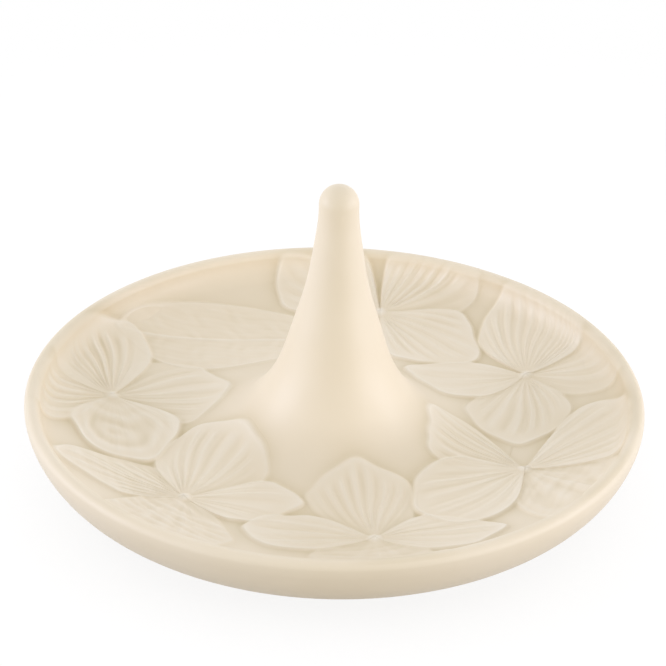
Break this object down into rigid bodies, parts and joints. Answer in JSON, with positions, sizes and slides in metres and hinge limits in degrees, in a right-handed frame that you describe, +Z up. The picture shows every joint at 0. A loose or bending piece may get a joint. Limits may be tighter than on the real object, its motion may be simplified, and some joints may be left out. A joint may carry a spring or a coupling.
{
  "type": "ring dish",
  "caption": "Shallow round dish on a low foot ring with a tall flared cone in the middle for finger rings, and a relief of blossoms and a leaf.",
  "frame": {"origin": "centre of the foot ring's resting face, on the dish's axis", "axes": "+Z up along the axis of the dish and the cone; +X to the right and +Y away from the viewer in the picture"},
  "size_m": [0.13, 0.13, 0.065],
  "materials": {
    "cream_glaze": "soft satin gloss cream glaze, a little yellower where it pools",
    "bare_foot": "glaze with a wiped, unglazed resting edge"
  },
  "bodies": {
    "root": {"dish": "cream_glaze", "foot_ring": "bare_foot", "ring_cone": "cream_glaze", "leaf": "cream_glaze", "left_blossom_eye": "cream_glaze", "left_blossom_petal_1": "cream_glaze", "left_blossom_petal_2": "cream_glaze", "left_blossom_petal_3": "cream_glaze", "left_blossom_petal_4": "cream_glaze", "back_blossom_eye": "cream_glaze", "back_blossom_petal_1": "cream_glaze", "back_blossom_petal_2": "cream_glaze", "back_blossom_petal_3": "cream_glaze", "back_blossom_petal_4": "cream_glaze", "back_right_blossom_eye": "cream_glaze", "back_right_blossom_petal_1": "cream_glaze", "back_right_blossom_petal_2": "cream_glaze", "back_right_blossom_petal_3": "cream_glaze", "back_right_blossom_petal_4": "cream_glaze", "right_blossom_eye": "cream_glaze", "right_blossom_petal_1": "cream_glaze", "right_blossom_petal_2": "cream_glaze", "right_blossom_petal_3": "cream_glaze", "right_blossom_petal_4": "cream_glaze", "front_blossom_eye": "cream_glaze", "front_blossom_petal_1": "cream_glaze", "front_blossom_petal_2": "cream_glaze", "front_blossom_petal_3": "cream_glaze", "front_blossom_petal_4": "cream_glaze", "front_left_blossom_eye": "cream_glaze", "front_left_blossom_petal_1": "cream_glaze", "front_left_blossom_petal_2": "cream_glaze", "front_left_blossom_petal_3": "cream_glaze", "front_left_blossom_petal_4": "cream_glaze"}
  },
  "joints": []
}
